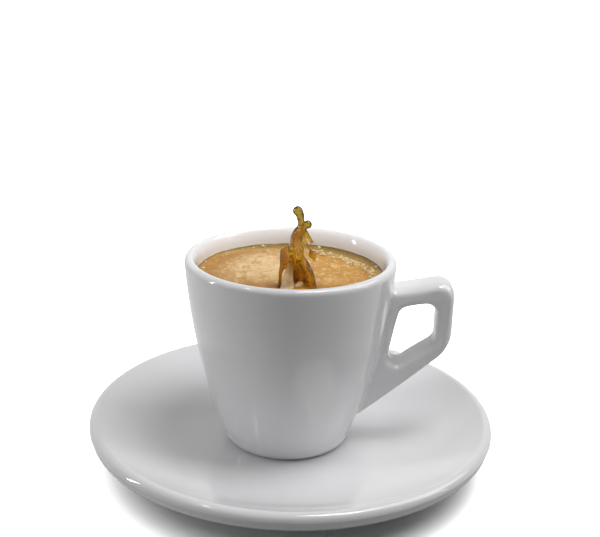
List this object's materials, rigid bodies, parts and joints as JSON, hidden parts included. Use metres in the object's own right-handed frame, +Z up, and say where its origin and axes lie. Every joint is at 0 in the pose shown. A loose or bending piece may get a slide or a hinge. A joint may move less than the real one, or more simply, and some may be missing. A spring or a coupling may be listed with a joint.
{
  "type": "espresso shot in a cup and saucer",
  "caption": "White espresso cup filled with coffee under a layer of crema, a small splash rising from it, standing on its saucer.",
  "frame": {"origin": "middle of the saucer's foot ring, on the surface it stands on", "axes": "+Z up; +X towards the cup's handle"},
  "size_m": [0.12, 0.12, 0.0827],
  "materials": {
    "porcelain": "smooth white glaze",
    "coffee": "dark liquid",
    "crema": "fine wet foam",
    "splash": "wet amber liquid"
  },
  "bodies": {
    "root": {"saucer": "porcelain", "cup": "porcelain", "espresso": "coffee", "crema": "crema", "splash": "splash"}
  },
  "joints": []
}
